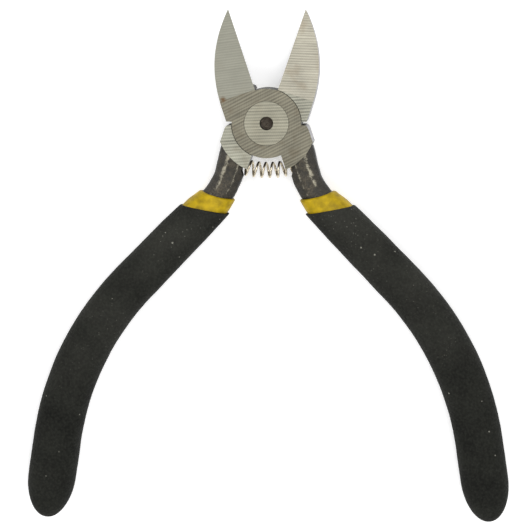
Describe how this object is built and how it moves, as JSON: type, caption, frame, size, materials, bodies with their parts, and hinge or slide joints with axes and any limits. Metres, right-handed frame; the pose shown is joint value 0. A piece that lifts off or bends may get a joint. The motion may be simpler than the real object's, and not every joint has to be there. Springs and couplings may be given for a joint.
{
  "type": "diagonal cutting pliers",
  "caption": "Diagonal cutting pliers with a lap joint, flush-ground blades, a coil return spring in blind pockets, and double-dipped black over yellow grips.",
  "frame": {"origin": "on the pivot axis, at the joint's back face", "axes": "+Z along the pivot axis out of the front face, +Y towards the blade tips, +X to the right seen from the front"},
  "size_m": [0.1286, 0.1363, 0.0118],
  "materials": {
    "ground_steel": "drop-forged tool steel, ground on the head and dark scale on the necks",
    "rivet_steel": "ground flush with the joint's face",
    "spring_wire": "bright drawn spring wire",
    "yellow_vinyl": "satin dipped vinyl undercoat",
    "black_vinyl": "matt, finely pebbled dipped vinyl"
  },
  "bodies": {
    "back_body": {"back_half": "ground_steel", "joint_rivet": "rivet_steel", "return_spring": "spring_wire", "back_undercoat": "yellow_vinyl", "back_grip": "black_vinyl"},
    "front_body": {"front_half": "ground_steel", "front_undercoat": "yellow_vinyl", "front_grip": "black_vinyl"}
  },
  "joints": [
    {"name": "squeeze", "type": "hinge", "parent": "back_body", "child": "front_body", "pos_m": [0, 0, 0], "axis": [0, 0, -1], "range_deg": [-5, 37.6], "stiffness_Nm_per_rad": 0.57, "deforming": ["return_spring"]}
  ]
}
